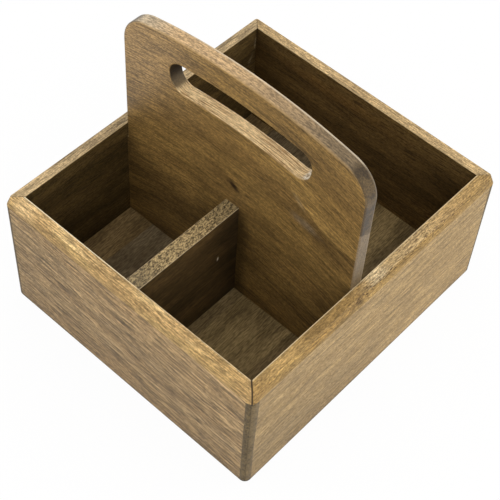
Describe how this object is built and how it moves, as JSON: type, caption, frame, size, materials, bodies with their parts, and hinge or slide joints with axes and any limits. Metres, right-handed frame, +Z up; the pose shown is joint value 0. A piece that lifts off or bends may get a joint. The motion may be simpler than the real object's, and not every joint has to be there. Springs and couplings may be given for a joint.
{
  "type": "utensil caddy",
  "caption": "Open wooden caddy for cutlery and utensils: a mitred box with a captive floor, split into compartments by a divider and a tall board whose arched top has a curved hand slot.",
  "frame": {"origin": "centre of the base of the box, on the plane that it stands on", "axes": "+Z up; +X along the handle board; +Y square to the handle board, from the divided side to the undivided one"},
  "size_m": [0.23, 0.2554, 0.2273],
  "materials": {
    "wall_wood": "stained and oiled, weathered grey-brown",
    "handle_wood": "stained and oiled, warm brown",
    "floor_wood": "stained, dry",
    "divider_wood": "stained and oiled",
    "spline_wood": "bare"
  },
  "bodies": {
    "root": {"front_wall": "wall_wood", "right_wall": "wall_wood", "back_wall": "wall_wood", "left_wall": "wall_wood", "floor_stave_1": "floor_wood", "floor_stave_2": "floor_wood", "floor_stave_3": "floor_wood", "floor_stave_4": "floor_wood", "floor_stave_5": "floor_wood", "handle_board": "handle_wood", "cross_divider": "divider_wood", "mitre_spline_front_right": "spline_wood", "mitre_spline_back_right": "spline_wood", "mitre_spline_back_left": "spline_wood", "mitre_spline_front_left": "spline_wood"}
  },
  "joints": []
}
